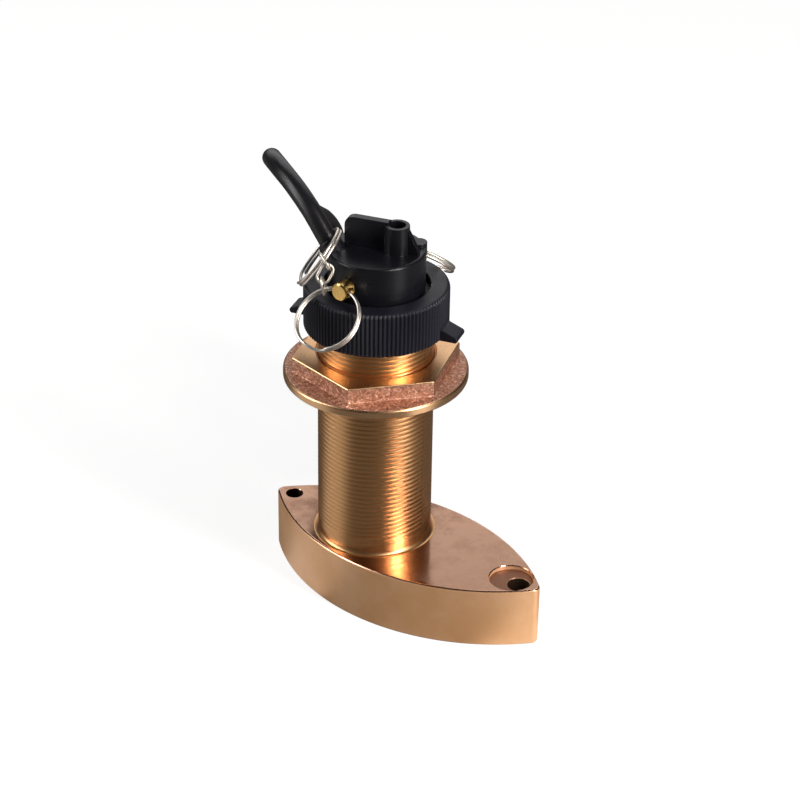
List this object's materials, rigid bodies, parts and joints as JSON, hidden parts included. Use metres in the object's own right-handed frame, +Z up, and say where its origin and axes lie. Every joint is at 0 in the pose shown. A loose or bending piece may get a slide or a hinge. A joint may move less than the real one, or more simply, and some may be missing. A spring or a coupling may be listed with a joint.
{
  "type": "sonar transducer",
  "caption": "Bronze through-hull sonar transducer: pointed blade, threaded stem, hull nut, ribbed cap nut, black insert head with pins, split rings and chain, and a coiled lead.",
  "frame": {"origin": "on the floor under the middle of the blade, where the blade's lower face rests", "axes": "+Z up along the stem; +X along the blade, towards the tip farther from the stem; +Y across the blade"},
  "size_m": [0.1949, 0.188, 0.1929],
  "materials": {
    "bronze": "cast and turned bronze, unpolished",
    "brass": "turned, bright",
    "steel": "drawn stainless wire",
    "black_plastic": "moulded, satin",
    "wheel_plastic": "moulded, matte",
    "cable_jacket": "smooth, slightly glossy",
    "rubber": "moulded, matte",
    "ceramic": "fired, matte",
    "board_green": "lacquered board",
    "magnet_grey": "plated, dull"
  },
  "bodies": {
    "transducer_body": {"housing": "bronze", "cap_nut": "black_plastic", "insert_body": "black_plastic", "o_ring_lower": "rubber", "o_ring_middle": "rubber", "o_ring_upper": "rubber", "paddle_axle": "steel", "acoustic_window": "rubber", "depth_element": "ceramic", "element_backing": "wheel_plastic", "temperature_probe": "brass", "speed_sensor": "wheel_plastic", "circuit_board": "board_green", "insert_head": "black_plastic", "cable_socket": "black_plastic", "front_pin": "brass", "rear_pin": "brass", "side_ring": "steel", "chain_link_1": "steel", "chain_link_2": "steel", "chain_link_3": "steel", "cable": "cable_jacket", "cable_coil": "cable_jacket", "coil_tie": "black_plastic", "connector_body": "black_plastic", "connector_collar": "black_plastic", "contact_1": "brass", "contact_2": "brass", "contact_3": "brass", "contact_4": "brass", "contact_5": "brass"},
    "hull_nut_body": {"hull_nut": "bronze"},
    "paddlewheel_body": {"paddlewheel": "wheel_plastic", "wheel_magnet_1": "magnet_grey", "wheel_magnet_2": "magnet_grey", "wheel_magnet_3": "magnet_grey", "wheel_magnet_4": "magnet_grey"},
    "front_ring_body": {"front_ring": "steel"},
    "rear_ring_body": {"rear_ring": "steel"}
  },
  "joints": [
    {"name": "hull_nut_travel", "type": "slide", "parent": "transducer_body", "child": "hull_nut_body", "axis": [0, 0, 1], "range_m": [-0.0735, 0.0125]},
    {"name": "paddlewheel_spin", "type": "hinge", "parent": "transducer_body", "child": "paddlewheel_body", "pos_m": [-0.0079, 0, 0.01], "axis": [0, 1, 0], "continuous": true},
    {"name": "front_ring_swing", "type": "hinge", "parent": "transducer_body", "child": "front_ring_body", "pos_m": [-0.0169, -0.0248, 0.1581], "axis": [-1, 0, 0], "range_deg": [0, 60]},
    {"name": "rear_ring_swing", "type": "hinge", "parent": "transducer_body", "child": "rear_ring_body", "pos_m": [-0.0169, 0.0248, 0.1581], "axis": [1, 0, 0], "range_deg": [0, 120]}
  ]
}
